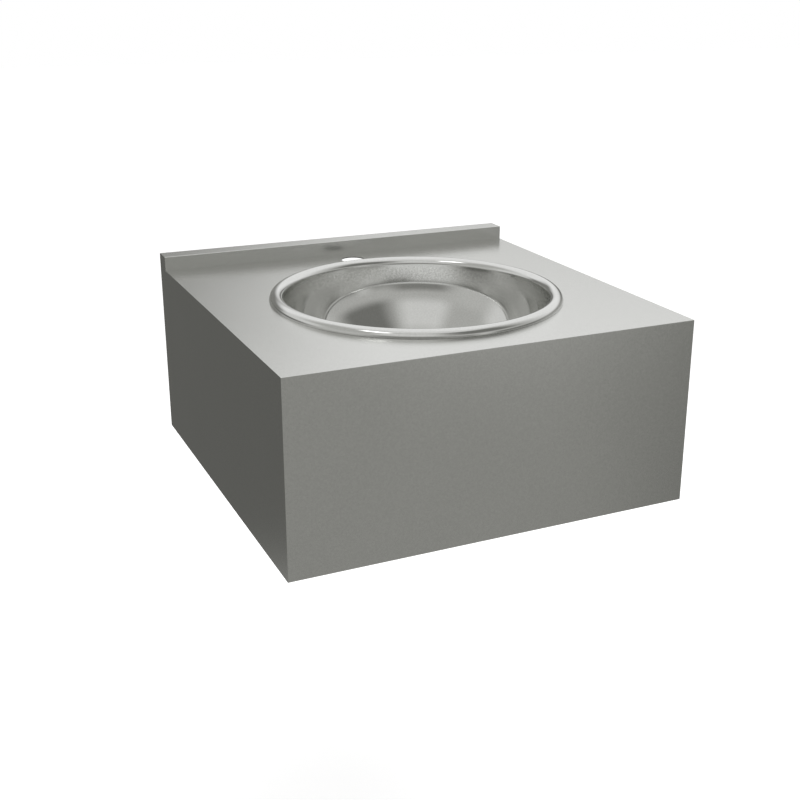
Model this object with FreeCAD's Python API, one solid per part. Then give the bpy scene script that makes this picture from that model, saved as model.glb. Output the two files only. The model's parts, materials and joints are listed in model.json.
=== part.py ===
import FreeCAD, Part
import math
import os

# Wall-hung washbasin: a folded sheet-steel housing with a round inset bowl, strainer waste and bottle trap.
# Millimetres. X to the right seen from the front, Y into the wall, Z up.
# The origin is the centre of the four wall bolts, on the wall plane.

Vec = FreeCAD.Vector

near = 0.01                    # edges closer than this to a corner belong to it
hex_sides = 6

# Housing
sheet = 1.5                    # wall of the folded housing
fold_radius = 1.0              # outside radius of the folds
apron_height = 250.0           # deck top to the bottom edge
upstand_height = 20.0          # splash edge above the deck
upstand_depth = 30.0           # splash edge, front to wall
rear_flange = 22.0             # turned down behind the splash edge
bottom_return = 25.0           # turned in along the bottom edge
return_gap = 0.5               # between neighbouring returns at the corners
side_margin = 77.5             # flat deck beside the bowl's bead
front_margin = 49.5            # flat deck in front of the bead

# Tap ledge
tap_hole_d = 35.0
tap_ledge = 33.5               # back of the bead to the centre of the tap hole
tap_to_upstand = 42.0          # centre of the tap hole to the splash edge

# Wall brackets
bolt_inset = 55.0              # outer side of the housing to the bolt centres
bolt_drop = 65.0               # deck top to the upper bolts
bolt_rise = 65.0               # bottom edge to the lower bolts
bolt_hole_d = 11.0
bolt_edge = 18.0               # bolt centre to the bracket's inner edge
bolt_end = 30.0                # bolt centre to the bracket's ends
bracket_plate = 3.0
bracket_reach = 45.0           # side leg, from the wall forwards

# Bowl
bowl_d = 356.0                 # inside, at deck level
bowl_depth = 167.0
bowl_wall = 1.0
bead_r = 9.75                  # outside radius of the rolled bead
bead_rise = 0.25               # centre of the bead above the deck
lip_gap = 0.2                  # edge of the bead above the deck
cutout_clearance = 1.5         # bowl wall to the edge of the deck's hole
drain_hole_d = 46.0
drain_seat_d = 67.0            # flat seat around the drain hole
seat_step = 2.5                # width of the step from the seat to the bowl
rim_seal_width = 5.0
rim_seal_gap = 0.3             # seal to the inside of the bead

# Bowl clips and sound pad
clip_count = 4
clip_width = 25.0
clip_plate = 2.0
clip_top = 14.0                # deck top to the clip's upper end
clip_bottom = 40.0             # deck top to the clip's lower end
clip_leg = 25.0                # deck top to the leg that holds the screw
clip_reach = 13.0              # bead centre to the end of the leg
clip_screw_d = 5.0
clip_screw_offset = 5.0        # bead centre to the screw's axis
clip_screw_below = 20.0        # screw shank below the leg
clip_head_d = 9.0
clip_head_height = 3.5
glue_gap = 0.15                # glue line on the bowl's outside
pad_inner_d = 140.0
pad_outer_d = 260.0
pad_thickness = 4.0

# Waste
strainer_d = 63.0
strainer_plate = 2.5
strainer_hole_d = 6.0
strainer_hole_count = 8
strainer_hole_circle = 28.0    # diameter through the hole centres
upper_seal = 1.0
lower_seal = 3.0
waste_flange_d = 62.0
waste_flange = 4.0
waste_d = 41.9                 # outside of the threaded tail
waste_wall = 2.5
waste_tail = 48.0              # lower seal to the tail's end
waste_lead = 10.0              # height of the funnel below the flange
bridge_drop = 12.0             # lower seal to the bridge inside the waste
bridge_height = 8.0
bridge_width = 9.0
screw_boss_d = 13.0
screw_d = 6.0
screw_head_d = 11.5
screw_below = 3.0              # screw shank below the bridge
screw_slot = 1.2               # width and depth of the driver slot

# Bottle trap
pipe_d = 32.0
pipe_wall = 1.3
slip_gap = 0.3                 # pipes in their nuts and seals
thread_gap = 0.2               # fixed nuts on their threads
union_gap = 0.3                # the cup nut on its thread and on the cup
seat_gap = 0.2                 # nut lips on their flanges
nut_grip = 16.0                # nut length over a thread
nut_lip = 3.0
nut_wall = 5.0                 # thread to the middle of a flat
nut_sides = 8
nut_chamfer = 1.2
washer = 3.0                   # flat seals of the slip joints
tube_flange = 2.0
neck_gap = 3.0                 # inlet nut to the nut below it
neck_d = 42.0                  # threaded necks of the trap head
neck_length = 14.0
head_d = 60.0
head_wall = 3.0
outlet_drop = 22.0             # head's shoulder to the outlet axis
outlet_reach = 52.0            # head's axis to the end of the outlet neck
outlet_stop = 34.0             # head's axis to the stop that the pipe meets
water_seal = 51.0              # outlet's lowest inside point to the end of the dip tube
cup_thread_d = 66.0
cup_thread_length = 18.0
cup_thread_gap = 2.0           # outlet neck to the cup nut
cup_d = 60.0
cup_wall = 2.0
cup_flange = 3.0
cup_seal = 2.0
cup_room = 17.0                # below the end of the dip tube
cup_corner = 8.0
cup_nut_wall = 5.0
cup_nut_grooves = 12
cup_nut_groove_d = 7.0
cup_clearance = 0.1            # cup seal to the head's rim
wall_reach = 40.0              # outlet pipe past the wall plane
mark_width = 2.0               # groove that marks the pipe's insertion depth
mark_depth = 0.4
rosette_d = 74.0
rosette_height = 9.0
rosette_plate = 1.0

# Earth terminal on the left end panel
earth_d = 6.0
earth_length = 18.0
earth_from_wall = 120.0
earth_above_edge = 35.0
earth_washer_d = 14.0
earth_washer = 1.5
earth_nut_flats = 10.0
earth_nut = 5.0
earth_gap = 0.1

# Places worked out from the sizes above
bowl_r = bowl_d / 2
bead_centre_r = bowl_r + bead_r
bead_outer_r = bead_centre_r + bead_r
width = 2 * (bead_outer_r + side_margin)
depth = front_margin + 2 * bead_outer_r + tap_ledge + tap_to_upstand + upstand_depth
bolt_spacing_z = apron_height - bolt_drop - bolt_rise
deck = bolt_spacing_z / 2 + bolt_drop
bottom = deck - apron_height
crown = deck + upstand_height
bolt_x = width / 2 - bolt_inset
bolt_z = bolt_spacing_z / 2
bowl_y = -depth + front_margin + bead_outer_r
tap_y = bowl_y + bead_outer_r + tap_ledge
inner_x = width / 2 - sheet
cutout_r = bowl_r + bowl_wall + cutout_clearance

seat = deck - bowl_depth
under_seat = seat - bowl_wall
under_seal = under_seat - lower_seal
tail_end = under_seal - waste_tail
tube_top = tail_end - washer
inlet_nut_low = tube_top - tube_flange - seat_gap - nut_lip
neck_nut_top = inlet_nut_low - neck_gap
neck_top = neck_nut_top - nut_lip - seat_gap - washer
shoulder = neck_top - neck_length
outlet_z = shoulder - outlet_drop
pipe_r = pipe_d / 2
pipe_bore = pipe_r - pipe_wall
dip_end = outlet_z - pipe_bore - water_seal
thread_top = outlet_z - neck_d / 2 - thread_gap - nut_wall - cup_thread_gap
rim = thread_top - cup_thread_length
cup_top = rim - cup_clearance - cup_seal
cup_floor = dip_end - cup_room


def box(x, y, z):
    """Box from three (low, high) pairs."""
    size = [high - low for low, high in (x, y, z)]
    return Part.makeBox(*size, Vec(x[0], y[0], z[0]))


def rod(diameter, start, end):
    """Round bar between two points."""
    axis = Vec(*end) - Vec(*start)
    return Part.makeCylinder(diameter / 2, axis.Length, Vec(*start), axis)


def outline(points):
    """Face inside a closed run of straight edges."""
    corners = [Vec(*p) for p in points]
    return Part.Face(Part.makePolygon(corners + corners[:1]))


def turned(section):
    """Solid turned about the bowl's axis from (radius, height) corners."""
    face = outline([(r, bowl_y, z) for r, z in section])
    return face.revolve(Vec(0, bowl_y, 0), Vec(0, 0, 1), 360)


def turned_outlet(section):
    """Solid turned about the outlet's axis from (radius, distance from the trap's axis) corners."""
    face = outline([(r, bowl_y + y, outlet_z) for r, y in section])
    return face.revolve(Vec(0, bowl_y, outlet_z), Vec(0, 1, 0), 360)


def ring(inner_d, outer_d, low, high):
    """Flat ring about the bowl's axis."""
    inner, outer = inner_d / 2, outer_d / 2
    return turned([(inner, low), (outer, low), (outer, high), (inner, high)])


def prism(sides, flats, start, axis):
    """Regular prism across its flats, from a point along an axis vector."""
    direction = Vec(axis)
    direction.normalize()
    corner_r = flats / 2 / math.cos(math.pi / sides)
    turn = FreeCAD.Rotation(Vec(0, 0, 1), direction)
    corners = []
    for i in range(sides):
        angle = 2 * math.pi * (i + 0.5) / sides
        corners.append(start + turn.multVec(Vec(corner_r * math.cos(angle), corner_r * math.sin(angle), 0)))
    return outline(corners).extrude(axis)


def slip_nut(thread_d, top, low):
    """Eight-sided nut about the bowl's axis, with a lip round the pipe at its top or bottom end."""
    flats = thread_d + 2 * (thread_gap + nut_wall)
    blank = prism(nut_sides, flats, Vec(0, bowl_y, low), Vec(0, 0, top - low))
    crest = flats / 2 / math.cos(math.pi / nut_sides)
    barrel = turned([
        (0, low), (crest - nut_chamfer, low), (crest, low + nut_chamfer),
        (crest, top - nut_chamfer), (crest - nut_chamfer, top), (0, top)])
    return blank.common(barrel)


def bowl_curve(offset, radius):
    """Angle on the bowl's elliptic section, at a distance outside it, that lies at a radius."""
    return math.acos(radius / (bowl_r + offset))


def bowl_point(offset, angle):
    """Point on the elliptic section at a distance outside the bowl's inner face."""
    return Vec((bowl_r + offset) * math.cos(angle), bowl_y, deck - (bowl_depth + offset) * math.sin(angle))


def bowl_arc(offset, start, end):
    """Stretch of the elliptic section between two angles."""
    centre = Vec(0, bowl_y, deck)
    across = bowl_point(offset, 0)
    down = bowl_point(offset, math.pi / 2)
    if bowl_r >= bowl_depth:
        return Part.ArcOfEllipse(Part.Ellipse(across, down, centre), start, end).toShape()
    quarter = math.pi / 2
    flipped = Part.Ellipse(down, centre - (across - centre), centre)
    return Part.ArcOfEllipse(flipped, start - quarter, end - quarter).toShape()


def line(a, b):
    return Part.LineSegment(a, b).toShape()


def band(inner, outer, start, end):
    """Face between two offsets of the bowl's section and two angles."""
    corners = [bowl_point(o, a) for o, a in ((inner, start), (inner, end), (outer, end), (outer, start))]
    edges = [
        bowl_arc(inner, start, end), line(corners[1], corners[2]),
        bowl_arc(outer, start, end), line(corners[3], corners[0])]
    return Part.Face(Part.Wire(Part.__sortEdges__(edges)))


def depth_angle(offset, below_deck):
    """Angle on the bowl's section at a depth below the deck."""
    return math.asin(below_deck / (bowl_depth + offset))


def around(shape, count):
    """Copies of a solid spaced evenly about the bowl's axis, half a step from the front."""
    copies = []
    for i in range(count):
        copy = shape.copy()
        copy.rotate(Vec(0, bowl_y, 0), Vec(0, 0, 1), 360 * (i + 0.5) / count)
        copies.append(copy)
    return Part.makeCompound(copies)


def fold_edges(shape, corners):
    """Edges of a profile along X that stand on the given (y, z) corners."""
    found = []
    for edge in shape.Edges:
        ends = [v.Point for v in edge.Vertexes]
        if len(ends) == 2 and abs(ends[0].x - ends[1].x) > sheet / 2:
            for y, z in corners:
                if all(math.hypot(p.y - y, p.z - z) < near for p in ends):
                    found.append(edge)
    return found


folds = [(0, crown), (-upstand_depth, crown), (-depth, deck), (-depth, bottom)]


# Housing: one folded sheet makes the splash edge, the deck and the apron
def make_shell():
    step = -upstand_depth
    front = -depth
    outside = [
        (0, crown - rear_flange), (0, crown), (step, crown), (step, deck),
        (front, deck), (front, bottom), (front + bottom_return, bottom)]
    inside = [
        (front + bottom_return, bottom + sheet), (front + sheet, bottom + sheet),
        (front + sheet, deck - sheet), (step + sheet, deck - sheet),
        (step + sheet, crown - sheet), (-sheet, crown - sheet), (-sheet, crown - rear_flange)]
    profile = outline([(-inner_x, y, z) for y, z in outside + inside])
    shell = profile.extrude(Vec(2 * inner_x, 0, 0))
    shell = shell.makeFillet(fold_radius, fold_edges(shell, folds))
    bowl_hole = rod(2 * cutout_r, (0, bowl_y, deck - 2 * sheet), (0, bowl_y, deck + sheet))
    tap_hole = rod(tap_hole_d, (0, tap_y, deck - 2 * sheet), (0, tap_y, deck + sheet))
    return shell.cut(bowl_hole).cut(tap_hole)


# End panel, welded flush to the folded sheet, with its own return along the bottom
def make_end_panel(side):
    corners = [
        (0, bottom), (0, crown), (-upstand_depth, crown), (-upstand_depth, deck),
        (-depth, deck), (-depth, bottom)]
    panel = outline([(side * inner_x, y, z) for y, z in corners]).extrude(Vec(side * sheet, 0, 0))
    panel = panel.makeFillet(fold_radius, fold_edges(panel, folds))
    lip_x = sorted([side * inner_x, side * (inner_x - bottom_return)])
    lip = box(lip_x, (-depth + bottom_return + return_gap, 0), (bottom, bottom + sheet))
    return panel.fuse(lip).removeSplitter()


# Angle bracket inside each end, with two bolt holes in its wall leg
def make_wall_bracket(side):
    low, high = -bolt_z - bolt_end, bolt_z + bolt_end
    wall_leg = box(sorted([side * inner_x, side * (bolt_x - bolt_edge)]), (-bracket_plate, 0), (low, high))
    side_leg = box(sorted([side * inner_x, side * (inner_x - bracket_plate)]), (-bracket_reach, 0), (low, high))
    bracket = wall_leg.fuse(side_leg).removeSplitter()
    for z in (-bolt_z, bolt_z):
        x = side * bolt_x
        bracket = bracket.cut(rod(bolt_hole_d, (x, -2 * bracket_plate, z), (x, bracket_plate, z)))
    return bracket


# Bowl: elliptic section, flat drain seat, and a bead rolled over onto the deck
def make_bowl():
    hole_r = drain_hole_d / 2
    seat_r = drain_seat_d / 2
    rise_r = seat_r + seat_step
    inner_angle = bowl_curve(0, rise_r)
    outer_angle = bowl_curve(bowl_wall, rise_r)
    lip_angle = math.asin((lip_gap - bead_rise) / bead_r)
    middle = Vec(bead_centre_r, bowl_y, deck + bead_rise)
    tube_inside = bead_r - bowl_wall

    def on_bead(radius, angle):
        return middle + Vec(radius * math.cos(angle), 0, radius * math.sin(angle))

    def bead_arc(radius):
        low, mid = lip_angle, (lip_angle + math.pi) / 2
        return Part.Arc(on_bead(radius, math.pi), on_bead(radius, mid), on_bead(radius, low)).toShape()

    def at(radius, height):
        return Vec(radius, bowl_y, height)

    edges = [
        line(at(hole_r, under_seat), at(hole_r, seat)),
        line(at(hole_r, seat), at(seat_r, seat)),
        line(at(seat_r, seat), bowl_point(0, inner_angle)),
        bowl_arc(0, 0, inner_angle),
        line(at(bowl_r, deck), on_bead(bead_r, math.pi)),
        bead_arc(bead_r),
        line(on_bead(bead_r, lip_angle), on_bead(tube_inside, lip_angle)),
        bead_arc(tube_inside),
        line(on_bead(tube_inside, math.pi), at(bowl_r + bowl_wall, deck)),
        bowl_arc(bowl_wall, 0, outer_angle),
        line(bowl_point(bowl_wall, outer_angle), at(seat_r, under_seat)),
        line(at(seat_r, under_seat), at(hole_r, under_seat))]
    section = Part.Face(Part.Wire(Part.__sortEdges__(edges)))
    return section.revolve(Vec(0, bowl_y, 0), Vec(0, 0, 1), 360)


# Sealing strip on the deck, inside the hollow of the bead
def make_rim_seal():
    half = rim_seal_width / 2
    reach = bead_r - bowl_wall - rim_seal_gap
    top = deck + bead_rise + math.sqrt(reach ** 2 - half ** 2)
    return ring(2 * (bead_centre_r - half), 2 * (bead_centre_r + half), deck, top)


# Clips fixed to the bowl's outside: each has a leg with a jacking screw that bears on the deck
def make_clips():
    inner = bowl_wall + glue_gap
    outer = inner + clip_plate
    span = math.degrees(clip_width / bead_centre_r)
    wall = band(inner, outer, depth_angle(inner, clip_top), depth_angle(inner, clip_bottom))
    leg_start = bowl_point((inner + outer) / 2, depth_angle(inner, clip_leg)).x
    leg_end = bead_centre_r + clip_reach
    leg_top = deck - clip_leg
    leg = outline([
        (leg_start, bowl_y, leg_top), (leg_end, bowl_y, leg_top),
        (leg_end, bowl_y, leg_top - clip_plate), (leg_start, bowl_y, leg_top - clip_plate)])
    centre, axis = Vec(0, bowl_y, 0), Vec(0, 0, 1)
    clip = wall.revolve(centre, axis, span).fuse(leg.revolve(centre, axis, span)).removeSplitter()
    clip.rotate(centre, axis, -span / 2)
    screw_x = bead_centre_r + clip_screw_offset
    hole_d = clip_screw_d + 2 * thread_gap
    clip = clip.cut(rod(hole_d, (screw_x, bowl_y, leg_top + clip_plate), (screw_x, bowl_y, leg_top - 2 * clip_plate)))
    return around(clip, clip_count)


def make_clip_screws():
    x = bead_centre_r + clip_screw_offset
    low = deck - clip_leg - clip_plate - clip_screw_below
    shank = rod(clip_screw_d, (x, bowl_y, low), (x, bowl_y, deck - sheet))
    head = prism(hex_sides, clip_head_d, Vec(x, bowl_y, low - clip_head_height), Vec(0, 0, clip_head_height))
    return around(shank.fuse(head), clip_count)


# Sound-deadening pad glued round the bowl's underside
def make_sound_pad():
    inner = bowl_wall + glue_gap
    outer = inner + pad_thickness
    face = band(inner, outer, bowl_curve(inner, pad_outer_d / 2), bowl_curve(inner, pad_inner_d / 2))
    return face.revolve(Vec(0, bowl_y, 0), Vec(0, 0, 1), 360)


# Strainer plate with a ring of holes and a countersunk screw
def make_strainer():
    low = seat + upper_seal
    top = low + strainer_plate
    edge = strainer_d / 2
    plate = turned([(0, low), (edge, low), (edge - strainer_plate / 2, top), (0, top)])
    hole_r = screw_d / 2 + thread_gap
    head_r = screw_head_d / 2 + thread_gap
    sink = turned([(0, low), (hole_r, low), (hole_r, top - (head_r - hole_r)), (head_r, top), (0, top)])
    plate = plate.cut(sink)
    for i in range(strainer_hole_count):
        angle = 2 * math.pi * i / strainer_hole_count
        x = strainer_hole_circle / 2 * math.cos(angle)
        y = bowl_y + strainer_hole_circle / 2 * math.sin(angle)
        plate = plate.cut(rod(strainer_hole_d, (x, y, low), (x, y, top)))
    return plate


def make_strainer_screw():
    top = seat + upper_seal + strainer_plate
    shank_r, head_r = screw_d / 2, screw_head_d / 2
    low = under_seal - bridge_drop - bridge_height - screw_below
    screw = turned([(0, low), (shank_r, low), (shank_r, top - (head_r - shank_r)), (head_r, top), (0, top)])
    half = screw_slot / 2
    slot = box((-head_r, head_r), (bowl_y - half, bowl_y + half), (top - screw_slot, top))
    return screw.cut(slot)


# Waste body under the bowl: flange, funnel, threaded tail, and a bridge for the strainer screw
def make_waste_body():
    flange_r, tail_r = waste_flange_d / 2, waste_d / 2
    mouth_r = drain_hole_d / 2
    bore_r = tail_r - waste_wall
    flange_low = under_seal - waste_flange
    funnel_low = flange_low - waste_lead
    body = turned([
        (mouth_r, under_seal), (flange_r, under_seal), (flange_r, flange_low),
        (mouth_r + waste_wall, flange_low), (tail_r, funnel_low), (tail_r, tail_end),
        (bore_r, tail_end), (bore_r, funnel_low), (mouth_r, flange_low)])
    top = under_seal - bridge_drop
    low = top - bridge_height
    bar = box((-tail_r, tail_r), (bowl_y - bridge_width / 2, bowl_y + bridge_width / 2), (low, top))
    boss = ring(screw_d + 2 * thread_gap, screw_boss_d, low, top)
    hole = ring(0, screw_d + 2 * thread_gap, low, top)
    bore = turned([
        (0, tail_end), (bore_r, tail_end), (bore_r, funnel_low), (mouth_r, flange_low), (mouth_r, under_seal),
        (0, under_seal)])
    bridge = bar.fuse(boss).common(bore).cut(hole)
    return body.fuse(bridge).removeSplitter()


# Bottle trap
def make_inlet_nut():
    low = inlet_nut_low
    nut = slip_nut(waste_d, tail_end + nut_grip, low)
    thread_r = waste_d / 2 + thread_gap
    lip_top = low + nut_lip
    bore = turned([
        (0, low), (pipe_r + slip_gap, low), (pipe_r + slip_gap, lip_top), (thread_r, lip_top),
        (thread_r, tail_end + nut_grip), (0, tail_end + nut_grip)])
    return nut.cut(bore)


def make_dip_tube():
    flange_r = waste_d / 2
    flange_low = tube_top - tube_flange
    return turned([
        (pipe_bore, tube_top), (flange_r, tube_top), (flange_r, flange_low), (pipe_r, flange_low),
        (pipe_r, dip_end), (pipe_bore, dip_end)])


def make_neck_nut():
    top = neck_nut_top
    low = neck_top - neck_length + thread_gap
    nut = slip_nut(neck_d, top, low)
    thread_r = neck_d / 2 + thread_gap
    lip_low = top - nut_lip
    bore = turned([
        (0, low), (thread_r, low), (thread_r, lip_low), (pipe_r + slip_gap, lip_low), (pipe_r + slip_gap, top),
        (0, top)])
    return nut.cut(bore)


def make_trap_head():
    tube_r = pipe_r + slip_gap
    neck_r, head_r, thread_r = neck_d / 2, head_d / 2, cup_thread_d / 2
    cavity_r = head_r - head_wall
    outer = turned([
        (0, rim), (thread_r, rim), (thread_r, thread_top), (head_r, thread_top),
        (head_r, shoulder), (neck_r, shoulder), (neck_r, neck_top), (0, neck_top)])
    outlet = turned_outlet([(0, 0), (neck_r, 0), (neck_r, outlet_reach), (0, outlet_reach)])
    roof = shoulder - head_wall
    cavity = turned([(0, rim), (cavity_r, rim), (cavity_r, roof), (0, roof)])
    tube_hole = turned([(0, roof), (tube_r, roof), (tube_r, neck_top), (0, neck_top)])
    port = turned_outlet([
        (0, 0), (pipe_bore, 0), (pipe_bore, outlet_stop), (tube_r, outlet_stop), (tube_r, outlet_reach),
        (0, outlet_reach)])
    return outer.fuse(outlet).removeSplitter().cut(cavity).cut(tube_hole).cut(port)


def make_outlet_nut():
    neck_r = neck_d / 2
    start = outlet_reach - neck_length + thread_gap
    lip_start = outlet_reach + washer + seat_gap
    end = lip_start + nut_lip
    flats = neck_d + 2 * (thread_gap + nut_wall)
    crest = flats / 2 / math.cos(math.pi / nut_sides)
    blank = prism(nut_sides, flats, Vec(0, bowl_y + start, outlet_z), Vec(0, end - start, 0))
    barrel = turned_outlet([
        (0, start), (crest - nut_chamfer, start), (crest, start + nut_chamfer),
        (crest, end - nut_chamfer), (crest - nut_chamfer, end), (0, end)])
    thread_r = neck_r + thread_gap
    tube_r = pipe_r + slip_gap
    bore = turned_outlet([
        (0, start), (thread_r, start), (thread_r, lip_start), (tube_r, lip_start), (tube_r, end), (0, end)])
    return blank.common(barrel).cut(bore)


def make_outlet_seal():
    inner, outer = pipe_r + slip_gap, neck_d / 2
    start, end = outlet_reach, outlet_reach + washer
    return turned_outlet([(inner, start), (outer, start), (outer, end), (inner, end)])


def make_outlet_pipe():
    wall = -bowl_y
    start, end = outlet_stop + slip_gap, wall + wall_reach
    groove, groove_r = wall - mark_width, pipe_r - mark_depth
    return turned_outlet([
        (pipe_bore, start), (pipe_r, start), (pipe_r, groove), (groove_r, groove), (groove_r, wall),
        (pipe_r, wall), (pipe_r, end), (pipe_bore, end)])


# Cover ring against the wall, dished, with a short sleeve round the pipe
def make_rosette():
    wall = -bowl_y
    inner, outer = pipe_r + slip_gap, rosette_d / 2
    front = wall - rosette_height
    sleeve = inner + rosette_plate
    shoulder_r = outer - rosette_height
    return turned_outlet([
        (inner, front), (shoulder_r, front), (outer, wall), (outer - 2 * rosette_plate, wall),
        (shoulder_r - rosette_plate, front + rosette_plate), (sleeve, front + rosette_plate), (sleeve, wall),
        (inner, wall)])


def make_cup():
    inner, outer, flange = cup_d / 2 - cup_wall, cup_d / 2, cup_thread_d / 2
    base = cup_floor - cup_wall
    flange_low = cup_top - cup_flange
    cup = turned([
        (0, base), (outer, base), (outer, flange_low), (flange, flange_low), (flange, cup_top), (0, cup_top)])
    edges = [e for e in cup.Edges if abs(e.BoundBox.ZMin - base) < near and abs(e.BoundBox.ZMax - base) < near]
    rounded = [e for e in edges if isinstance(e.Curve, Part.Circle)]
    cup = cup.makeFillet(cup_corner, rounded)
    hollow = turned([
        (0, cup_floor), (inner - cup_corner, cup_floor), (inner, cup_floor + cup_corner), (inner, cup_top),
        (0, cup_top)])
    return cup.cut(hollow)


# Ring nut that carries the cup and screws onto the trap head
def make_cup_nut():
    thread_r = cup_thread_d / 2 + union_gap
    outer = thread_r + cup_nut_wall
    lip_r = cup_d / 2 + union_gap
    lip_top = cup_top - cup_flange - seat_gap
    low = lip_top - nut_lip
    top = thread_top - thread_gap
    nut = turned([
        (lip_r, low), (outer - nut_chamfer, low), (outer, low + nut_chamfer), (outer, top - nut_chamfer),
        (outer - nut_chamfer, top), (thread_r, top), (thread_r, lip_top), (lip_r, lip_top)])
    groove_r = outer + cup_nut_groove_d / 4
    for i in range(cup_nut_grooves):
        angle = 2 * math.pi * i / cup_nut_grooves
        x = groove_r * math.cos(angle)
        y = bowl_y + groove_r * math.sin(angle)
        nut = nut.cut(rod(cup_nut_groove_d, (x, y, low), (x, y, top)))
    return nut


# Earth terminal
earth_y = -earth_from_wall
earth_z = bottom + earth_above_edge


def make_earth_stud():
    return rod(earth_d, (-inner_x, earth_y, earth_z), (-inner_x + earth_length, earth_y, earth_z))


def make_earth_washer():
    start, end = -inner_x, -inner_x + earth_washer
    disc = rod(earth_washer_d, (start, earth_y, earth_z), (end, earth_y, earth_z))
    return disc.cut(rod(earth_d + 2 * earth_gap, (start, earth_y, earth_z), (end, earth_y, earth_z)))


def make_earth_nut():
    start = -inner_x + earth_washer
    body = prism(hex_sides, earth_nut_flats, Vec(start, earth_y, earth_z), Vec(earth_nut, 0, 0))
    return body.cut(rod(earth_d + 2 * earth_gap, (start, earth_y, earth_z), (start + earth_nut, earth_y, earth_z)))


nodes = {
    "housing_shell": make_shell(),
    "left_end_panel": make_end_panel(-1),
    "right_end_panel": make_end_panel(1),
    "left_wall_bracket": make_wall_bracket(-1),
    "right_wall_bracket": make_wall_bracket(1),
    "bowl": make_bowl(),
    "rim_seal": make_rim_seal(),
    "bowl_clips": make_clips(),
    "clip_screws": make_clip_screws(),
    "sound_pad": make_sound_pad(),
    "waste_strainer": make_strainer(),
    "strainer_screw": make_strainer_screw(),
    "upper_waste_seal": ring(drain_hole_d, strainer_d, seat, seat + upper_seal),
    "lower_waste_seal": ring(drain_hole_d, waste_flange_d, under_seal, under_seat),
    "waste_body": make_waste_body(),
    "inlet_nut": make_inlet_nut(),
    "inlet_washer": ring(pipe_d, waste_d, tube_top, tail_end),
    "dip_tube": make_dip_tube(),
    "dip_tube_nut": make_neck_nut(),
    "dip_tube_seal": ring(pipe_d + 2 * slip_gap, neck_d, neck_top, neck_top + washer),
    "trap_head": make_trap_head(),
    "outlet_nut": make_outlet_nut(),
    "outlet_seal": make_outlet_seal(),
    "outlet_pipe": make_outlet_pipe(),
    "wall_rosette": make_rosette(),
    "trap_cup": make_cup(),
    "cup_seal": ring(cup_d - 2 * cup_wall, cup_thread_d, cup_top, cup_top + cup_seal),
    "cup_nut": make_cup_nut(),
    "earth_stud": make_earth_stud(),
    "earth_washer": make_earth_washer(),
    "earth_nut": make_earth_nut(),
}

os.makedirs("parts", exist_ok=True)
for name, shape in nodes.items():
    shape.exportStep("parts/" + name + ".step")
    print(name, len(shape.Solids), "solid(s)", round(shape.Volume / 1000, 2), "cm3", shape.isValid())
print("width", width, "depth", depth, "deck", deck, "bowl axis Y", bowl_y, "outlet Z", outlet_z, "cup low", cup_floor)
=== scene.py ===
import bmesh
import bpy
import json
import math
from mathutils import Matrix, Quaternion, Vector


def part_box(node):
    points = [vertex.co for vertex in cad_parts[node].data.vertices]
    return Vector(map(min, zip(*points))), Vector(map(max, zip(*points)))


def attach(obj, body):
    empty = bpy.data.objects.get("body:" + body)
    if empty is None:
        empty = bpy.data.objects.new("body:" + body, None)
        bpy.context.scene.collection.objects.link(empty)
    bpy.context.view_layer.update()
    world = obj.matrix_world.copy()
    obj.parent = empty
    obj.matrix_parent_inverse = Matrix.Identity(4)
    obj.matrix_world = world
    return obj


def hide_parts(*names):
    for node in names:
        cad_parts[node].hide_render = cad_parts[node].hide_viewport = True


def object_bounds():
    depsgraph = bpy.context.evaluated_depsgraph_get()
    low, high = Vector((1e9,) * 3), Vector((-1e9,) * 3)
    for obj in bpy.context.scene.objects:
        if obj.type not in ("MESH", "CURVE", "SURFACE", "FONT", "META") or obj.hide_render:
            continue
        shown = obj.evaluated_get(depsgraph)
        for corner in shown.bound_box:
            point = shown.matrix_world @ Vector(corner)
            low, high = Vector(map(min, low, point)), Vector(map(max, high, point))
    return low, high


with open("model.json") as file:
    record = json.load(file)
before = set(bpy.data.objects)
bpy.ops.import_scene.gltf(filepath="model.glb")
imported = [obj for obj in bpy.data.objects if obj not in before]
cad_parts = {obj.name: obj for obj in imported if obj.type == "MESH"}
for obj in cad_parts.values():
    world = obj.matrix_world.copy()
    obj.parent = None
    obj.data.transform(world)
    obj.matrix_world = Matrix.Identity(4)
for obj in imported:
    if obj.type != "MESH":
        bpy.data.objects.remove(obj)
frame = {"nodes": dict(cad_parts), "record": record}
cadLow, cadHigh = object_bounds()
scene = bpy.context.scene
print("frame loaded:", len(frame["nodes"]), "nodes")

# camera, at the photograph's viewpoint
cameraPlan = {
    "place": (-0.6545, -1.7259, 0.5497),
    "heading": 25.94,          # degrees from +Y towards +X
    "pitch": -19.30,
    "roll": 0.585,
    "lens": 53.91,
    "sensor": 36.0,
    "shiftX": -0.0510,
    "shiftY": -0.0216,
    "nearest": 0.05,
    "farthest": 60.0,
}
bouncePlan = {
    "all": 16,
    "glossy": 12,              # the bowl mirrors itself many times over
}


def makeCamera(plan):
    data = bpy.data.cameras.new("studioCamera")
    data.sensor_fit = "HORIZONTAL"
    data.sensor_width = plan["sensor"]
    data.lens = plan["lens"]
    data.shift_x = plan["shiftX"]
    data.shift_y = plan["shiftY"]
    data.clip_start = plan["nearest"]
    data.clip_end = plan["farthest"]
    camera = bpy.data.objects.new("studioCamera", data)
    scene.collection.objects.link(camera)
    heading = math.radians(plan["heading"])
    pitch = math.radians(plan["pitch"])
    reach = math.cos(pitch)
    look = Vector((math.sin(heading) * reach, math.cos(heading) * reach, math.sin(pitch)))
    level = look.to_track_quat("-Z", "Y")
    camera.rotation_mode = "QUATERNION"
    camera.rotation_quaternion = Quaternion(look, math.radians(-plan["roll"])) @ level
    camera.location = plan["place"]
    scene.camera = camera


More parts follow.
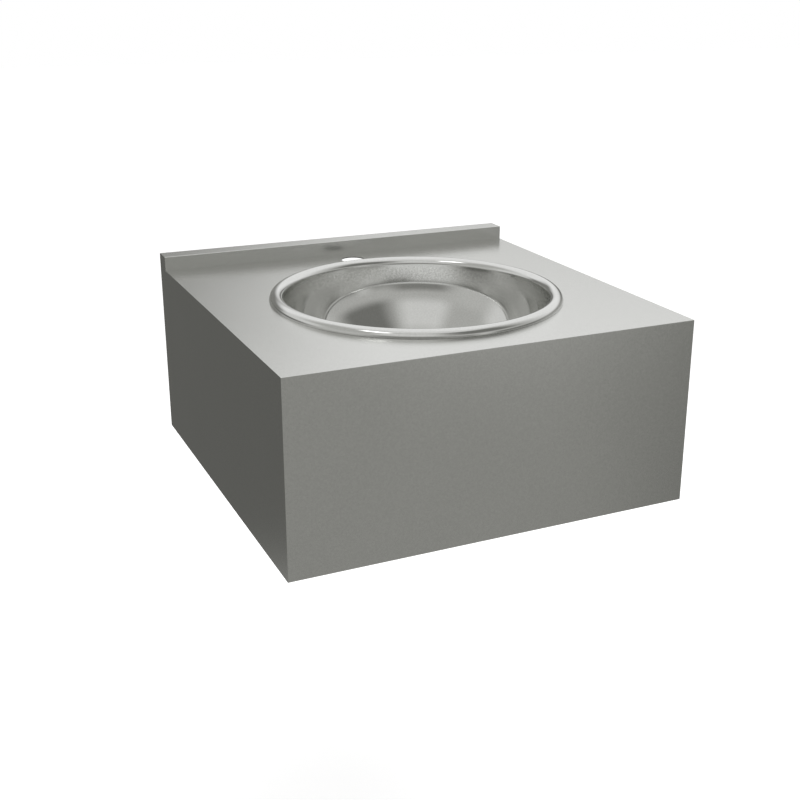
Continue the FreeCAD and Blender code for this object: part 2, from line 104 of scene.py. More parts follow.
makeCamera(cameraPlan)
scene.view_settings.view_transform = "Standard"
scene.cycles.max_bounces = bouncePlan["all"]
scene.cycles.glossy_bounces = bouncePlan["glossy"]
print("camera placed")


# small helpers for meshes
def linkMesh(name, bm, material):
    mesh = bpy.data.meshes.new(name)
    bm.to_mesh(mesh)
    bm.free()
    mesh.materials.append(material)
    item = bpy.data.objects.new(name, mesh)
    scene.collection.objects.link(item)
    return item


def newPiece(name, bm, material, smoothAngle):
    piece = linkMesh(name, bm, material)
    piece.data.shade_smooth()
    piece.data.set_sharp_from_angle(angle=math.radians(smoothAngle))
    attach(piece, "basin")
    return piece


# a whole turn of the profile drawn so far
def turnProfile(bm, axis, plan):
    bmesh.ops.spin(
        bm, geom=bm.verts[:] + bm.edges[:], cent=(0, 0, 0), axis=axis, angle=2 * math.pi,
        steps=plan["turns"], use_merge=True)
    bmesh.ops.remove_doubles(bm, verts=bm.verts, dist=plan["merge"])


# small helpers for node trees
def startMaterial(name):
    material = bpy.data.materials.new(name)
    material.use_nodes = True
    tree = material.node_tree
    return material, tree, tree.nodes["Principled BSDF"]


def addNode(tree, kind, at=(0, 0), **settings):
    node = tree.nodes.new(kind)
    node.location = at
    for key, value in settings.items():
        setattr(node, key, value)
    return node


def wire(tree, source, output, target, inlet):
    tree.links.new(source.outputs[output], target.inputs[inlet])


def addStep(tree, source, output, span, ends, at):
    step = addNode(tree, "ShaderNodeMapRange", at, interpolation_type="SMOOTHSTEP")
    step.inputs["From Min"].default_value = span[0]
    step.inputs["From Max"].default_value = span[1]
    step.inputs["To Min"].default_value = ends[0]
    step.inputs["To Max"].default_value = ends[1]
    wire(tree, source, output, step, "Value")
    return step


def addMultiply(tree, at):
    mix = addNode(tree, "ShaderNodeMix", at, data_type="RGBA", blend_type="MULTIPLY")
    mix.inputs["Factor"].default_value = 1.0
    return mix


def addNoise(tree, source, output, detail, at):
    noise = addNode(tree, "ShaderNodeTexNoise", at)
    noise.inputs["Detail"].default_value = detail
    wire(tree, source, output, noise, "Vector")
    return noise


def centreNoise(tree, noise, at):
    centred = addNode(tree, "ShaderNodeMath", at, operation="SUBTRACT")
    centred.inputs[1].default_value = grainPlan["noiseMiddle"]
    wire(tree, noise, "Fac", centred, 0)
    return centred


# value times amount, plus the third socket, which is left to the caller
def addTimesPlus(tree, at, value, amount):
    node = addNode(tree, "ShaderNodeMath", at, operation="MULTIPLY_ADD")
    wire(tree, *value, node, 0)
    wire(tree, *amount, node, 1)
    return node


# ground grain: long fine scratches along one axis over a soft unevenness
grainPlan = {
    "noiseMiddle": 0.5,
    "fineDetail": 3,
    "broadDetail": 4,
    "speckDetail": 1,
    "speckScale": 430.0,
}
grainInputs = [
    ("Stretch", "NodeSocketVector", (1, 1, 1)),
    ("Fine", "NodeSocketFloat", 900.0),
    ("Broad", "NodeSocketFloat", 9.0),
    ("Depth", "NodeSocketFloat", 0.06),
    ("Speckle", "NodeSocketFloat", 0.0),
    ("Base Roughness", "NodeSocketFloat", 0.3),
    ("Spread", "NodeSocketFloat", 0.05),
]
grainOutputs = ["Tone", "Roughness", "Height"]


def makeGrainGroup(plan):
    group = bpy.data.node_groups.new("groundGrain", "ShaderNodeTree")
    for label, kind, default in grainInputs:
        socket = group.interface.new_socket(label, in_out="INPUT", socket_type=kind)
        socket.default_value = default
    for label in grainOutputs:
        group.interface.new_socket(label, in_out="OUTPUT", socket_type="NodeSocketFloat")
    source = addNode(group, "NodeGroupInput", (-900, 0))
    sink = addNode(group, "NodeGroupOutput", (700, 0))
    coords = addNode(group, "ShaderNodeTexCoord", (-900, 300))
    stretched = addNode(group, "ShaderNodeVectorMath", (-700, 200), operation="MULTIPLY")
    wire(group, coords, "Object", stretched, 0)
    wire(group, source, "Stretch", stretched, 1)
    fine = addNoise(group, stretched, "Vector", plan["fineDetail"], (-480, 250))
    wire(group, source, "Fine", fine, "Scale")
    broad = addNoise(group, coords, "Object", plan["broadDetail"], (-480, -50))
    wire(group, source, "Broad", broad, "Scale")
    specks = addNoise(group, coords, "Object", plan["speckDetail"], (-480, -350))
    specks.inputs["Scale"].default_value = plan["speckScale"]
    scratches = centreNoise(group, fine, (-250, 250))
    clouds = centreNoise(group, broad, (-250, -50))
    dots = centreNoise(group, specks, (-250, -350))
    both = addNode(group, "ShaderNodeMath", (-50, 100), operation="ADD")
    wire(group, scratches, "Value", both, 0)
    wire(group, clouds, "Value", both, 1)
    tone = addTimesPlus(group, (150, 250), (both, "Value"), (source, "Depth"))
    tone.inputs[2].default_value = 1.0
    speckled = addTimesPlus(group, (350, 250), (dots, "Value"), (source, "Speckle"))
    wire(group, tone, "Value", speckled, 2)
    rough = addTimesPlus(group, (150, 0), (both, "Value"), (source, "Spread"))
    wire(group, source, "Base Roughness", rough, 2)
    wire(group, speckled, "Value", sink, "Tone")
    wire(group, rough, "Value", sink, "Roughness")
    wire(group, fine, "Fac", sink, "Height")
    return group


grainGroup = makeGrainGroup(grainPlan)
grainSettings = {
    "stretch": "Stretch", "fine": "Fine", "broad": "Broad", "depth": "Depth", "speckle": "Speckle",
    "roughness": "Base Roughness", "spread": "Spread"}


def addGrain(tree, finish):
    grain = addNode(tree, "ShaderNodeGroup", (-700, 0), node_tree=grainGroup)
    for key, socket in grainSettings.items():
        if key in finish:
            grain.inputs[socket].default_value = finish[key]
    return grain


def addTint(tree, grain, finish):
    tint = addMultiply(tree, (-450, 200))
    tint.inputs["A"].default_value = (*finish["colour"], 1)
    wire(tree, grain, "Tone", tint, "B")
    return tint


def addBump(tree, grain, shader, finish):
    bump = addNode(tree, "ShaderNodeBump", (-450, -250))
    bump.inputs["Strength"].default_value = finish["bump"]
    bump.inputs["Distance"].default_value = finish["bumpDepth"]
    wire(tree, grain, "Height", bump, "Height")
    wire(tree, bump, "Normal", shader, "Normal")


# the wall between foot and head keeps its brushed finish and is rougher there; its colour is also
# lifted paler with light specks, a painted sheen; floor and bead are polished
def brushWallPaintSheen(tree, grain, tint, shader, wall):
    coords = addNode(tree, "ShaderNodeTexCoord", (-1300, -400))
    parts = addNode(tree, "ShaderNodeSeparateXYZ", (-1100, -400))
    wire(tree, coords, "Object", parts, "Vector")
    rise = addStep(tree, parts, "Z", wall["foot"], (0, wall["roughness"]), (-900, -300))
    fall = addStep(tree, parts, "Z", wall["head"], (1, 0), (-900, -600))
    rough = addTimesPlus(tree, (-450, -50), (rise, "Result"), (fall, "Result"))
    wire(tree, grain, "Roughness", rough, 2)
    wire(tree, rough, "Value", shader, "Roughness")
    # painted sheen: the band where the wall's colour is lifted paler
    sheenBand = addNode(tree, "ShaderNodeMath", (-650, -500), operation="MULTIPLY")
    wire(tree, rise, "Result", sheenBand, 0)
    wire(tree, fall, "Result", sheenBand, 1)
    specks = addNoise(tree, coords, "Object", grainPlan["speckDetail"], (-900, -900))
    specks.inputs["Scale"].default_value = wall["speckScale"]
    speckled = addNode(tree, "ShaderNodeMapRange", (-650, -800))
    speckled.inputs["To Min"].default_value = wall["tone"] - wall["speckle"]
    speckled.inputs["To Max"].default_value = wall["tone"] + wall["speckle"]
    wire(tree, specks, "Fac", speckled, "Value")
    # painted sheen: colour lifted paler in the wall band, with light specks
    pale = addNode(tree, "ShaderNodeMapRange", (-450, -500))
    pale.inputs["From Max"].default_value = wall["roughness"]
    pale.inputs["To Min"].default_value = 1.0
    wire(tree, sheenBand, "Value", pale, "Value")
    wire(tree, speckled, "Result", pale, "To Max")
    sheenLifted = addMultiply(tree, (-250, 250))
    wire(tree, tint, "Result", sheenLifted, "A")
    wire(tree, pale, "Result", sheenLifted, "B")
    return sheenLifted


# crystals of the zinc coat, each a little lighter or darker than the next
def addSpangle(tree, tint, spangle):
    coords = addNode(tree, "ShaderNodeTexCoord", (-1300, 600))
    cells = addNode(tree, "ShaderNodeTexVoronoi", (-1100, 600))
    cells.inputs["Scale"].default_value = spangle["scale"]
    wire(tree, coords, "Object", cells, "Vector")
    shade = addNode(tree, "ShaderNodeSeparateColor", (-900, 600))
    wire(tree, cells, "Color", shade, "Color")
    spread = addNode(tree, "ShaderNodeMapRange", (-700, 600))
    spread.inputs["To Min"].default_value = 1 - spangle["contrast"]
    spread.inputs["To Max"].default_value = 1 + spangle["contrast"]
    wire(tree, shade, "Red", spread, "Value")
    flaked = addMultiply(tree, (-250, 400))
    wire(tree, tint, "Result", flaked, "A")
    wire(tree, spread, "Result", flaked, "B")
    return flaked


def makeMetal(name, finish):
    material, tree, shader = startMaterial(name)
    shader.inputs["Metallic"].default_value = 1.0
    grain = addGrain(tree, finish)
    colour = addTint(tree, grain, finish)
    if "wall" in finish:
        colour = brushWallPaintSheen(tree, grain, colour, shader, finish["wall"])
    else:
        wire(tree, grain, "Roughness", shader, "Roughness")
    if "spangle" in finish:
        colour = addSpangle(tree, colour, finish["spangle"])
    wire(tree, colour, "Result", shader, "Base Color")
    addBump(tree, grain, shader, finish)
    return material


def makeRubber(name, finish):
    material, tree, shader = startMaterial(name)
    shader.inputs["Specular IOR Level"].default_value = finish["gloss"]
    grain = addGrain(tree, finish)
    colour = addTint(tree, grain, finish)
    wire(tree, colour, "Result", shader, "Base Color")
    wire(tree, grain, "Roughness", shader, "Roughness")
    addBump(tree, grain, shader, finish)
    return material


metalFinishes = {
    "satinSteel": {
        "colour": (0.67, 0.674, 0.655), "stretch": (0.04, 1, 1), "fine": 1400.0, "broad": 7.0,
        "speckle": 0.16, "depth": 0.05, "roughness": 0.23, "spread": 0.05,
        "bump": 0.04, "bumpDepth": 0.0001},
    "polishedSteel": {
        "colour": (0.70, 0.703, 0.69), "stretch": (1, 1, 1), "fine": 700.0, "broad": 14.0,
        "speckle": 0.14, "depth": 0.04, "roughness": 0.045, "spread": 0.02,
        "bump": 0.01, "bumpDepth": 0.0001,
        # wall: a rougher brushed band below the bead, its colour lifted by a painted sheen with
        # light specks
        "wall": {"foot": (0.097, 0.109), "head": (0.119, 0.126), "roughness": 0.18, "tone": 1.14,
                 "speckle": 0.3, "speckScale": 380.0}},
    "zincSteel": {
        "colour": (0.62, 0.63, 0.64), "stretch": (1, 1, 1), "fine": 260.0, "broad": 60.0,
        "speckle": 0.2, "depth": 0.12, "roughness": 0.38, "spread": 0.12,
        "bump": 0.06, "bumpDepth": 0.0002,
        "spangle": {"scale": 150.0, "contrast": 0.16}},
    "brightChrome": {
        "colour": (0.80, 0.81, 0.82), "stretch": (1, 1, 1), "fine": 500.0, "broad": 25.0,
        "speckle": 0.05, "depth": 0.03, "roughness": 0.12, "spread": 0.04,
        "bump": 0.01, "bumpDepth": 0.0001},
    "plainBrass": {
        "colour": (0.70, 0.52, 0.25), "stretch": (1, 1, 1), "fine": 500.0, "broad": 80.0,
        "speckle": 0.2, "depth": 0.15, "roughness": 0.30, "spread": 0.12,
        "bump": 0.03, "bumpDepth": 0.0001},
}
rubberFinishes = {
    "sealRubber": {
        "colour": (0.022, 0.022, 0.023), "gloss": 0.35, "fine": 900.0, "broad": 60.0, "depth": 0.4,
        "roughness": 0.62, "spread": 0.15, "bump": 0.15, "bumpDepth": 0.0004},
    "padRubber": {
        "colour": (0.035, 0.036, 0.040), "gloss": 0.35, "fine": 420.0, "broad": 30.0, "depth": 0.5,
        "roughness": 0.72, "spread": 0.2, "bump": 0.35, "bumpDepth": 0.0004},
}
materials = {}
for name, finish in metalFinishes.items():
    materials[name] = makeMetal(name, finish)
for name, finish in rubberFinishes.items():
    materials[name] = makeRubber(name, finish)
slotMaterials = {
    "satin_steel": "satinSteel", "polished_steel": "polishedSteel", "zinc_steel": "zincSteel",
    "chromed_brass": "brightChrome", "seal_rubber": "sealRubber", "pad_rubber": "padRubber",
    "earth_brass": "plainBrass"}
for entry in frame["record"]["subparts"]:
    node = frame["nodes"][entry["node"]]
    node.data.materials.clear()
    node.data.materials.append(materials[slotMaterials[entry["material_slot"]]])
print("materials made:", len(materials))


# bowl: elliptic section with a rolled bead, turned about its axis
bowlPlan = {
    "innerRadius": 0.178,
    "depth": 0.167,
    "wall": 0.001,
    "beadRadius": 0.00975,
    "beadRise": 0.00025,
    "lipGap": 0.0002,          # the bead's lip stays this far above the deck
    "drainRadius": 0.023,
    "seatRadius": 0.0335,
    "seatStep": 0.0025,
    "wallSteps": 72,
    "beadSteps": 40,
    "turns": 288,
    "merge": 1e-6,
    "smoothAngle": 35,
}


def makeBowl(plan):
    low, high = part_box("bowl")
    deckTop = high.z - plan["beadRise"] - plan["beadRadius"]
    axisPoint = Vector(((low.x + high.x) / 2, (low.y + high.y) / 2, deckTop))
    bm = bmesh.new()
    rim = bm.verts.new((plan["innerRadius"], 0, 0))
    # quarter of a circle, flattened to the bowl's depth
    riseRadius = plan["seatRadius"] + plan["seatStep"]
    sweep = math.acos(riseRadius / plan["innerRadius"])
    bmesh.ops.spin(
        bm, geom=[rim], cent=(0, 0, 0), axis=(0, 1, 0), angle=sweep, steps=plan["wallSteps"])
    bmesh.ops.scale(bm, vec=(1, 1, plan["depth"] / plan["innerRadius"]), verts=bm.verts)
    foot = min(bm.verts, key=lambda v: v.co.z)
    for radius in (plan["seatRadius"], plan["drainRadius"]):
        stepped = bmesh.ops.extrude_vert_indiv(bm, verts=[foot])["verts"][0]
        stepped.co = (radius, 0, -plan["depth"])
        foot = stepped
    # straight rise, then the bead rolls over to the deck
    rise = bmesh.ops.extrude_vert_indiv(bm, verts=[rim])["verts"][0]
    rise.co.z = plan["beadRise"]
    roll = math.pi + math.asin((plan["beadRise"] - plan["lipGap"]) / plan["beadRadius"])
    bmesh.ops.spin(
        bm, geom=[rise], cent=(plan["innerRadius"] + plan["beadRadius"], 0, plan["beadRise"]),
        axis=(0, 1, 0), angle=roll, steps=plan["beadSteps"])
    turnProfile(bm, (0, 0, 1), plan)
    bmesh.ops.recalc_face_normals(bm, faces=bm.faces)
    wallFace = min(bm.faces, key=lambda f: abs(f.calc_center_median().z + plan["depth"] / 2))
    centre = wallFace.calc_center_median()
    if wallFace.normal.dot(Vector((centre.x, centre.y, 0))) > 0:
        bmesh.ops.reverse_faces(bm, faces=bm.faces)
    bmesh.ops.solidify(bm, geom=bm.faces, thickness=plan["wall"])
    bmesh.ops.translate(bm, vec=axisPoint, verts=bm.verts)
    piece = newPiece(
        "bowlSkin", bm, materials["polishedSteel"], plan["smoothAngle"])
    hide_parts("bowl")
    print("bowl turned:", len(piece.data.polygons), "faces")


makeBowl(bowlPlan)


# clip screws and earth stud: a core with a sharp ridge wound round it, along +Z from the origin
def addThreadedRod(bm, plan, length):
    root = plan["radius"] - plan["threadDepth"]
    bmesh.ops.create_cone(
        bm, cap_ends=True, segments=plan["segments"], radius1=root, radius2=root, depth=length,
        matrix=Matrix.Translation((0, 0, length / 2)))
    flank = plan["pitch"] * plan["flankShare"]
    foot = root - plan["ridgeBite"]
    low = bm.verts.new((foot, 0, 0))
    crest = bm.verts.new((plan["radius"], 0, flank))
    high = bm.verts.new((foot, 0, 2 * flank))
    ridge = bm.faces.new((low, crest, high))
    turns = (length - 2 * flank) / plan["pitch"]
    steps = int(turns * plan["segments"])
    bmesh.ops.spin(
        bm, geom=[ridge], cent=(0, 0, 0), axis=(0, 0, 1),
        dvec=(0, 0, plan["pitch"] / plan["segments"]),
        angle=2 * math.pi * steps / plan["segments"], steps=steps)


clipScrewPlan = {
    "count": 4,
    "fromBead": 0.005,         # bead centre to the screw's axis
    "radius": 0.0025,
    "threadDepth": 0.0005,
    "pitch": 0.0008,
    "flankShare": 0.46,        # of the pitch
    "ridgeBite": 0.00005,      # the ridge starts this far inside the core
    "segments": 20,
    "headSides": 6,
    "headFlats": 0.009,
    "headHeight": 0.0035,
    "headBevel": 0.0005,
    "bevelSegments": 3,
    "smoothAngle": 30,
}


def makeClipScrews(plan):
    low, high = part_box("clip_screws")
    bm = bmesh.new()
    addThreadedRod(bm, plan, high.z - low.z - plan["headHeight"])
    halfSide = math.pi / plan["headSides"]
    cornerRadius = plan["headFlats"] / 2 / math.cos(halfSide)
    headDrop = Matrix.Translation((0, 0, -plan["headHeight"] / 2))
    head = bmesh.ops.create_cone(
        bm, cap_ends=True, segments=plan["headSides"], radius1=cornerRadius, radius2=cornerRadius,
        depth=plan["headHeight"], matrix=headDrop @ Matrix.Rotation(halfSide, 4, "Z"))
    headEdges = {edge for vert in head["verts"] for edge in vert.link_edges}
    bmesh.ops.bevel(
        bm, geom=list(headEdges), offset=plan["headBevel"], affect="EDGES",
        segments=plan["bevelSegments"], profile=0.5, material=-1)
    bmesh.ops.recalc_face_normals(bm, faces=bm.faces)
    beadCentre = bowlPlan["innerRadius"] + bowlPlan["beadRadius"]
    bmesh.ops.translate(bm, vec=(beadCentre + plan["fromBead"], 0, 0), verts=bm.verts)
    step = 2 * math.pi / plan["count"]
    bmesh.ops.rotate(bm, cent=(0, 0, 0), matrix=Matrix.Rotation(step / 2, 3, "Z"), verts=bm.verts)
    bmesh.ops.spin(
        bm, geom=bm.verts[:] + bm.edges[:] + bm.faces[:], cent=(0, 0, 0), axis=(0, 0, 1),
        angle=step * (plan["count"] - 1), steps=plan["count"] - 1, use_duplicate=True)
    place = Vector(((low.x + high.x) / 2, (low.y + high.y) / 2, low.z + plan["headHeight"]))
    bmesh.ops.translate(bm, vec=place, verts=bm.verts)
    piece = newPiece(
        "clipScrewSet", bm, materials["zincSteel"], plan["smoothAngle"])
    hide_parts("clip_screws")


earthStudPlan = {
    "radius": 0.003,
    "threadDepth": 0.0006,
    "pitch": 0.001,
    "flankShare": 0.46,
    "ridgeBite": 0.00005,
    "segments": 24,
    "smoothAngle": 30,
}


def makeEarthStud(plan):
    low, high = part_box("earth_stud")
    bm = bmesh.new()
    addThreadedRod(bm, plan, high.x - low.x)
    bmesh.ops.recalc_face_normals(bm, faces=bm.faces)
    bmesh.ops.rotate(bm, cent=(0, 0, 0), matrix=Matrix.Rotation(math.pi / 2, 3, "Y"), verts=bm.verts)
    place = Vector((low.x, (low.y + high.y) / 2, (low.z + high.z) / 2))
    bmesh.ops.translate(bm, vec=place, verts=bm.verts)
    piece = newPiece(
        "earthStudThread", bm, materials["plainBrass"], plan["smoothAngle"])
    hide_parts("earth_stud")


# cover ring on the wall: a shallow dome with a collar round the pipe
rosettePlan = {
    "boreRadius": 0.0163,
    "collar": 0.0022,          # flat ring round the pipe
    "wall": 0.0008,
    "curveSteps": 20,
    "turns": 128,
    "merge": 1e-7,
    "smoothAngle": 35,
}


def makeRosette(plan):
    low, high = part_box("wall_rosette")
    height = high.y - low.y
    collarEdge = plan["boreRadius"] + plan["collar"]
    sweep = (high.x - low.x) / 2 - collarEdge
    bm = bmesh.new()
    rim = bm.verts.new((sweep, 0, 0))
    # quarter of a circle, flattened to the dome's height
    dome = bmesh.ops.spin(
        bm, geom=[rim], cent=(0, 0, 0), axis=(0, 0, -1), angle=math.pi / 2, steps=plan["curveSteps"])
    crown = [item for item in dome["geom_last"] if isinstance(item, bmesh.types.BMVert)][0]
    bmesh.ops.scale(bm, vec=(1, height / sweep, 1), verts=bm.verts)
    bmesh.ops.translate(bm, vec=(collarEdge, 0, 0), verts=bm.verts)
    lip = bmesh.ops.extrude_vert_indiv(bm, verts=[crown])["verts"][0]
    lip.co.x = plan["boreRadius"]
    sleeve = bmesh.ops.extrude_vert_indiv(bm, verts=[lip])["verts"][0]
    sleeve.co.y = 0
    turnProfile(bm, (0, 1, 0), plan)
    bmesh.ops.recalc_face_normals(bm, faces=bm.faces)
    front = min(bm.faces, key=lambda face: face.calc_center_median().y)
    if front.normal.y > 0:
        bmesh.ops.reverse_faces(bm, faces=bm.faces)
    bmesh.ops.solidify(bm, geom=bm.faces, thickness=plan["wall"])
    place = Vector(((low.x + high.x) / 2, high.y, (low.z + high.z) / 2))
    bmesh.ops.translate(bm, vec=place, verts=bm.verts)
    piece = newPiece(
        "rosetteDome", bm, materials["brightChrome"], plan["smoothAngle"])
    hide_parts("wall_rosette")


makeClipScrews(clipScrewPlan)
makeEarthStud(earthStudPlan)
makeRosette(rosettePlan)
print("threads and rosette made")


# stage: pale floor at the installed depth, a bright surround, cards to mirror and one soft lamp
stagePlan = {
    "floorDrop": 0.85,         # rim height of an installed basin
    "floorSize": 14.0,
    "floorColour": (0.88, 0.88, 0.88),
    "floorRoughness": 0.9,
    "floorGlow": 0.52,
    "surroundLight": 0.6,
}
white = (1, 1, 1, 1)


# one where a ray comes from the camera, a mirror or through something clear
def seenRays(tree):
    path = addNode(tree, "ShaderNodeLightPath", (-900, 300))
    first = addNode(tree, "ShaderNodeMath", (-650, 300), operation="MAXIMUM")
    wire(tree, path, "Is Camera Ray", first, 0)
    wire(tree, path, "Is Glossy Ray", first, 1)
    both = addNode(tree, "ShaderNodeMath", (-450, 300), operation="MAXIMUM")
    wire(tree, first, "Value", both, 0)
    wire(tree, path, "Is Transmission Ray", both, 1)
    return both


def makeFloor(plan):
    material, tree, shader = startMaterial("paleFloor")
    shader.inputs["Base Color"].default_value = (*plan["floorColour"], 1)
    shader.inputs["Roughness"].default_value = plan["floorRoughness"]
    shader.inputs["Emission Color"].default_value = white
    glow = addNode(tree, "ShaderNodeMath", (-250, -300), operation="MULTIPLY")
    glow.inputs[1].default_value = plan["floorGlow"]
    wire(tree, seenRays(tree), "Value", glow, 0)
    wire(tree, glow, "Value", shader, "Emission Strength")
    bm = bmesh.new()
    bmesh.ops.create_grid(bm, x_segments=1, y_segments=1, size=plan["floorSize"])
    bmesh.ops.translate(bm, vec=(0, 0, cadHigh.z - plan["floorDrop"]), verts=bm.verts)
    floor = linkMesh("studioFloor", bm, material)


def makeSurround(plan):
    world = bpy.data.worlds.new("studioSurround")
    scene.world = world
    world.use_nodes = True
    tree = world.node_tree
    tree.nodes.clear()
    out = addNode(tree, "ShaderNodeOutputWorld", (600, 0))
    seen = addNode(tree, "ShaderNodeBackground", (100, 150))
    seen.inputs["Color"].default_value = white
    seen.inputs["Strength"].default_value = 1.0
    fill = addNode(tree, "ShaderNodeBackground", (100, -50))
    fill.inputs["Color"].default_value = white
    fill.inputs["Strength"].default_value = plan["surroundLight"]
    mix = addNode(tree, "ShaderNodeMixShader", (350, 0))
    wire(tree, seenRays(tree), "Value", mix, 0)
    wire(tree, fill, "Background", mix, 1)
    wire(tree, seen, "Background", mix, 2)
    wire(tree, mix, "Shader", out, "Surface")


makeFloor(stagePlan)
makeSurround(stagePlan)

domePlan = {
    "centre": (0.0, -0.28),
    "radius": 4.0,
    "innerRadius": 0.03,
    "floorLift": 0.002,        # lies this far above the floor
    "openTop": 88,             # degrees above the horizon
    "riseSteps": 24,
    "turns": 96,
    "merge": 1e-5,
    "ground": 0.20,            # tone where no card stands
    "warmth": (1.0, 1.0, 0.93),
}
# where each card stands round the basin by turn (0 left, 0.25 front, 0.5 right, 0.75 wall side),
# its height as that of a unit direction, the blur of its edges and its tone
# later cards stand in front
cardPlans = [
    {"name": "nearFloor", "height": (-1.20, -0.72), "heightBlur": 0.12, "tone": 0.52},
    {"name": "frontFloor", "turn": (0.05, 0.353), "turnBlur": 0.016,
     "height": (-0.66, 0.20), "heightBlur": 0.06, "tone": 0.325},
    {"name": "wallFoot", "turn": (0.71, 0.92), "turnBlur": 0.05,
     "height": (-0.62, 0.10), "heightBlur": 0.06, "tone": 0.13},
    {"name": "wallSkirting", "turn": (0.63, 0.82), "turnBlur": 0.03,
     "height": (-0.06, 0.10), "heightBlur": 0.05, "tone": 0.12},
    {"name": "roomWalls", "height": (0.14, 1.20), "heightBlur": 0.07, "tone": 0.52},
    {"name": "frontShade", "turn": (0.09, 0.24), "turnBlur": 0.03,
     "height": (-0.20, 0.21), "heightBlur": 0.06, "tone": 0.26},
    {"name": "frontStrip", "turn": (0.305, 0.340), "turnBlur": 0.018,
     "height": (-0.26, 0.20), "heightBlur": 0.05, "tone": 0.62},
    {"name": "leftStrip", "turn": (0.945, 1.09), "turnBlur": 0.045,
     "height": (-0.10, 0.40), "heightBlur": 0.10, "tone": 0.58},
    {"name": "rightStrip", "turn": (0.47, 0.60), "turnBlur": 0.04,
     "height": (-0.16, 0.16), "heightBlur": 0.06, "tone": 0.38},
    {"name": "leftScreen", "turn": (0.09, 0.23), "turnBlur": 0.03,
     "height": (0.38, 0.80), "heightBlur": 0.10, "tone": 0.76},
    {"name": "frontFlag", "turn": (0.265, 0.415), "turnBlur": 0.035,
     "height": (0.36, 0.83), "heightBlur": 0.08, "tone": 0.21},
    {"name": "ceiling", "height": (0.87, 1.20), "heightBlur": 0.06, "tone": 0.82},
    {"name": "rightScreen", "turn": (0.485, 0.86), "turnBlur": 0.07,
     "height": (0.18, 1.20), "heightBlur": 0.13, "tone": 0.98},
    {"name": "wallGap", "turn": (0.71, 0.84), "turnBlur": 0.028,
     "height": (0.04, 0.37), "heightBlur": 0.12, "tone": 0.24},
    {"name": "rearScreen", "turn": (0.86, 0.965), "turnBlur": 0.03,
     "height": (0.15, 0.50), "heightBlur": 0.10, "tone": 0.78},
    {"name": "softbox", "turn": (0.02, 0.10), "turnBlur": 0.02,
     "height": (0.80, 0.87), "heightBlur": 0.035, "tone": 4.0},
]


# only tones below white are tinted
def cardColour(tone, tint):
    dimness = max(0, 1 - tone)
    return (*[tone * (1 - (1 - t) * dimness) for t in tint], 1)


# one inside a card's span, none past its blurred edges
def spanMask(tree, source, output, span, blur, at, around=False):
    offset = addNode(tree, "ShaderNodeMath", at, operation="SUBTRACT")
    offset.inputs[1].default_value = (span[0] + span[1]) / 2
    wire(tree, source, output, offset, 0)
    away = addNode(tree, "ShaderNodeMath", (at[0] + 180, at[1]), operation="ABSOLUTE")
    if around:
        away.operation = "PINGPONG"
        away.inputs[1].default_value = 0.5     # nothing is more than half a turn away
    wire(tree, offset, "Value", away, 0)
    half = (span[1] - span[0]) / 2
    return addStep(tree, away, "Value", (half - blur, half + blur), (1, 0), (at[0] + 360, at[1]))


def paintCard(tree, turn, parts, behind, card, tint, y):
    mask = spanMask(tree, parts, "Z", card["height"], card["heightBlur"], (-300, y))
    share = mask.outputs["Result"]
    if "turn" in card:
        side = spanMask(
            tree, turn, "Fac", card["turn"], card["turnBlur"], (-300, y - 150), around=True)
        both = addNode(tree, "ShaderNodeMath", (300, y), operation="MULTIPLY")
        wire(tree, mask, "Result", both, 0)
        wire(tree, side, "Result", both, 1)
        share = both.outputs["Value"]
    mix = addNode(tree, "ShaderNodeMix", (500, y), data_type="RGBA", label=card["name"])
    tree.links.new(share, mix.inputs["Factor"])
    tree.links.new(behind, mix.inputs["A"])
    mix.inputs["B"].default_value = cardColour(card["tone"], tint)
    return mix.outputs["Result"]


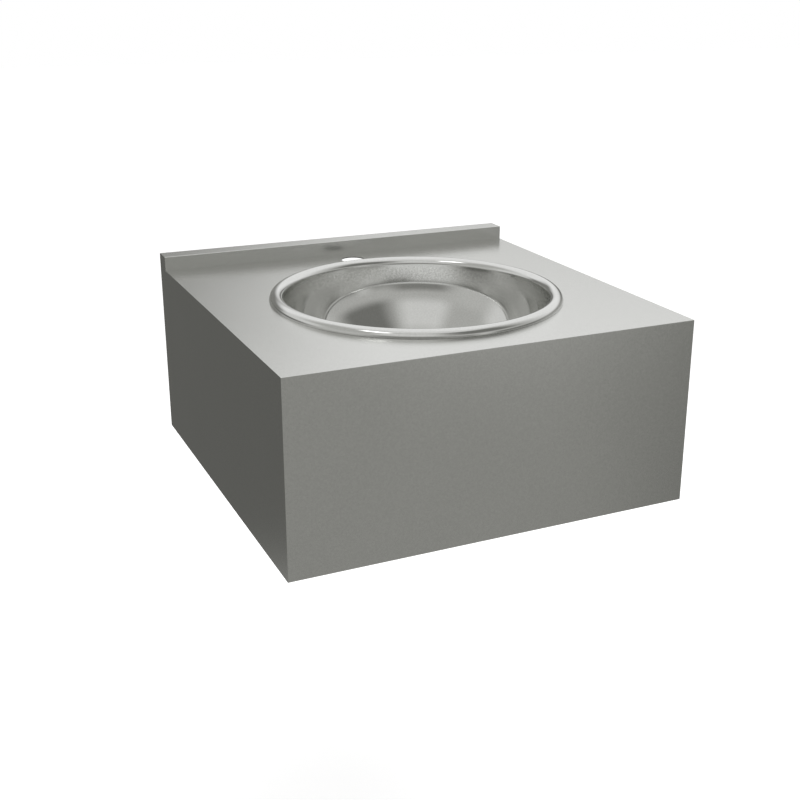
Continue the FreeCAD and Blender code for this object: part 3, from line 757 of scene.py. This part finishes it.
def makeCardTones(plan, cards):
    material, tree, shader = startMaterial("cardTones")
    tree.nodes.remove(shader)
    out = tree.nodes["Material Output"]
    glow = addNode(tree, "ShaderNodeEmission", (800, 0))
    coords = addNode(tree, "ShaderNodeTexCoord", (-900, 0))
    turn = addNode(tree, "ShaderNodeTexGradient", (-600, 250), gradient_type="RADIAL")
    wire(tree, coords, "Object", turn, "Vector")
    unit = addNode(tree, "ShaderNodeVectorMath", (-700, -200), operation="NORMALIZE")
    wire(tree, coords, "Object", unit, 0)
    parts = addNode(tree, "ShaderNodeSeparateXYZ", (-500, -200))
    wire(tree, unit, "Vector", parts, "Vector")
    ground = addNode(tree, "ShaderNodeRGB", (-300, 300))
    ground.outputs["Color"].default_value = cardColour(plan["ground"], plan["warmth"])
    painted = ground.outputs["Color"]
    for row, card in enumerate(cards):
        painted = paintCard(tree, turn, parts, painted, card, plan["warmth"], -320 * row)
    tree.links.new(painted, glow.inputs["Color"])
    wire(tree, glow, "Emission", out, "Surface")
    return material


# a dome round the basin carries the cards, and only the metal mirrors it
def makeDome(plan, cards):
    bm = bmesh.new()
    inner = bm.verts.new((plan["innerRadius"], 0, plan["floorLift"] - stagePlan["floorDrop"]))
    outer = bmesh.ops.extrude_vert_indiv(bm, verts=[inner])["verts"][0]
    outer.co.x = plan["radius"]
    level = bmesh.ops.extrude_vert_indiv(bm, verts=[outer])["verts"][0]
    level.co.z = 0
    bmesh.ops.spin(
        bm, geom=[level], cent=(0, 0, 0), axis=(0, -1, 0), angle=math.radians(plan["openTop"]),
        steps=plan["riseSteps"])
    turnProfile(bm, (0, 0, 1), plan)
    dome = linkMesh("softCards", bm, makeCardTones(plan, cards))
    dome.location = (*plan["centre"], cadHigh.z)
    for ray in ("camera", "diffuse", "transmission", "volume_scatter", "shadow"):
        setattr(dome, "visible_" + ray, False)


makeDome(domePlan, cardPlans)

lampPlan = {
    "place": (0.5, -0.6, 2.4),
    "aim": (0, -0.3, 0.1),
    "size": 2.4,
    "power": 45,
}


def makeLamp(plan):
    data = bpy.data.lights.new("topLamp", "AREA")
    data.shape = "DISK"
    data.size = plan["size"]
    data.energy = plan["power"]
    lamp = bpy.data.objects.new("topLamp", data)
    scene.collection.objects.link(lamp)
    lamp.location = plan["place"]
    toward = Vector(plan["aim"]) - Vector(plan["place"])
    lamp.rotation_euler = toward.to_track_quat("-Z", "Y").to_euler()
    lamp.visible_glossy = False


makeLamp(lampPlan)
print("stage set")
